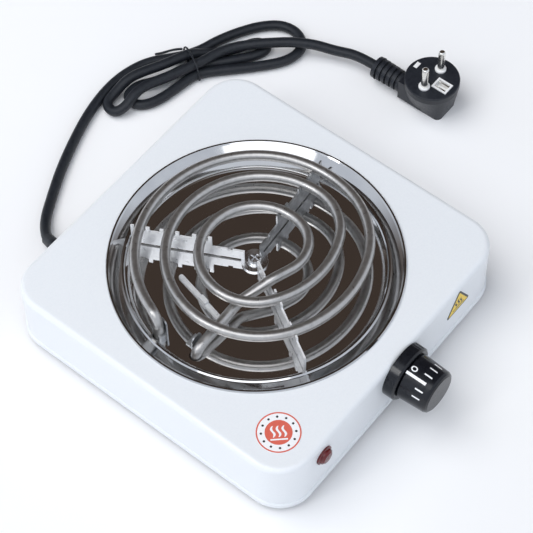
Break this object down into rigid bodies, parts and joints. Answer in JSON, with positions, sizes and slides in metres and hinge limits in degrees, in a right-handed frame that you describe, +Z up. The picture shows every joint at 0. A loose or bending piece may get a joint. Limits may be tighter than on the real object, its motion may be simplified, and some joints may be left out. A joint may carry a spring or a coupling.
{
  "type": "hot plate burner",
  "caption": "Electric hot plate with a spiral heating coil over a polished drip bowl in a square enamelled body, with a control knob, an indicator lamp and a tied mains cord with plug.",
  "frame": {"origin": "on the standing surface, under the centre of the square body", "axes": "+Z up, -Y towards the knob side, +Y towards the cord side, +X to the right seen from the knob side"},
  "size_m": [0.3328, 0.3337, 0.0624],
  "materials": {
    "enamel": "gloss",
    "zinc": "satin",
    "chrome": "polished",
    "coil": "satin",
    "ceramic": "matte",
    "black_gloss": "gloss",
    "rubber": "matte",
    "lens": "gloss",
    "neon": "clear",
    "brass": "satin",
    "wire": "satin",
    "grey_plastic": "matte",
    "label_white": "satin",
    "label_yellow": "satin"
  },
  "bodies": {
    "burner": {"body_shell": "enamel", "base_plate": "zinc", "corner_posts": "zinc", "foot_screws": "zinc", "bowl_clips": "zinc", "leg_clips": "zinc", "bowl_floor_bar": "zinc", "coil_arm_left": "zinc", "coil_arm_back": "zinc", "coil_arm_front": "zinc", "hub_plate": "zinc", "hub_washer": "zinc", "hub_screw": "zinc", "bush_nut": "zinc", "thermostat_bush": "zinc", "stack_screw": "zinc", "indicator_clip": "zinc", "cord_clamp": "zinc", "base_screws": "zinc", "earth_tag": "zinc", "wire_tie": "zinc", "terminal_pins": "zinc", "trim_ring": "chrome", "drip_bowl": "chrome", "plug_pins": "chrome", "plug_earth_spring": "chrome", "heating_coil": "coil", "terminal_insulators": "ceramic", "stack_insulators": "ceramic", "bimetal_link": "ceramic", "knob_bezel": "black_gloss", "rubber_feet": "rubber", "cord_gland": "rubber", "cord_tail": "rubber", "cord_lead": "rubber", "cord_hank": "rubber", "cord_plug_lead": "rubber", "plug_body": "rubber", "plug_relief": "rubber", "indicator_lens": "lens", "neon_bulb": "neon", "pressure_leaf": "brass", "moving_leaf": "brass", "fixed_leaf": "brass", "contact_rivets": "brass", "terminal_screws": "brass", "cord_cores": "wire", "coil_wire_a": "wire", "coil_wire_b": "wire", "switch_wire": "wire", "earth_wire": "wire", "indicator_socket": "grey_plastic", "terminal_block": "grey_plastic", "pin_collars": "grey_plastic", "plug_earth_frame": "grey_plastic", "heat_label": "label_white", "hazard_label": "label_yellow"},
    "knob": {"knob": "black_gloss", "adjuster_shaft": "zinc"},
    "push_pin": {"push_pin": "zinc"}
  },
  "joints": [
    {"name": "knob_turn", "type": "hinge", "parent": "burner", "child": "knob", "pos_m": [0.0021, -0.115, 0.034], "axis": [0, 1, 0], "range_deg": [0, 300]},
    {"name": "push_pin_slide", "type": "slide", "parent": "burner", "child": "push_pin", "axis": [0, 1, 0], "range_m": [0, 0.00101]}
  ],
  "couplings": [
    {"joint": "push_pin_slide", "follows": "knob_turn", "m_per_rad": 0.00019099}
  ]
}
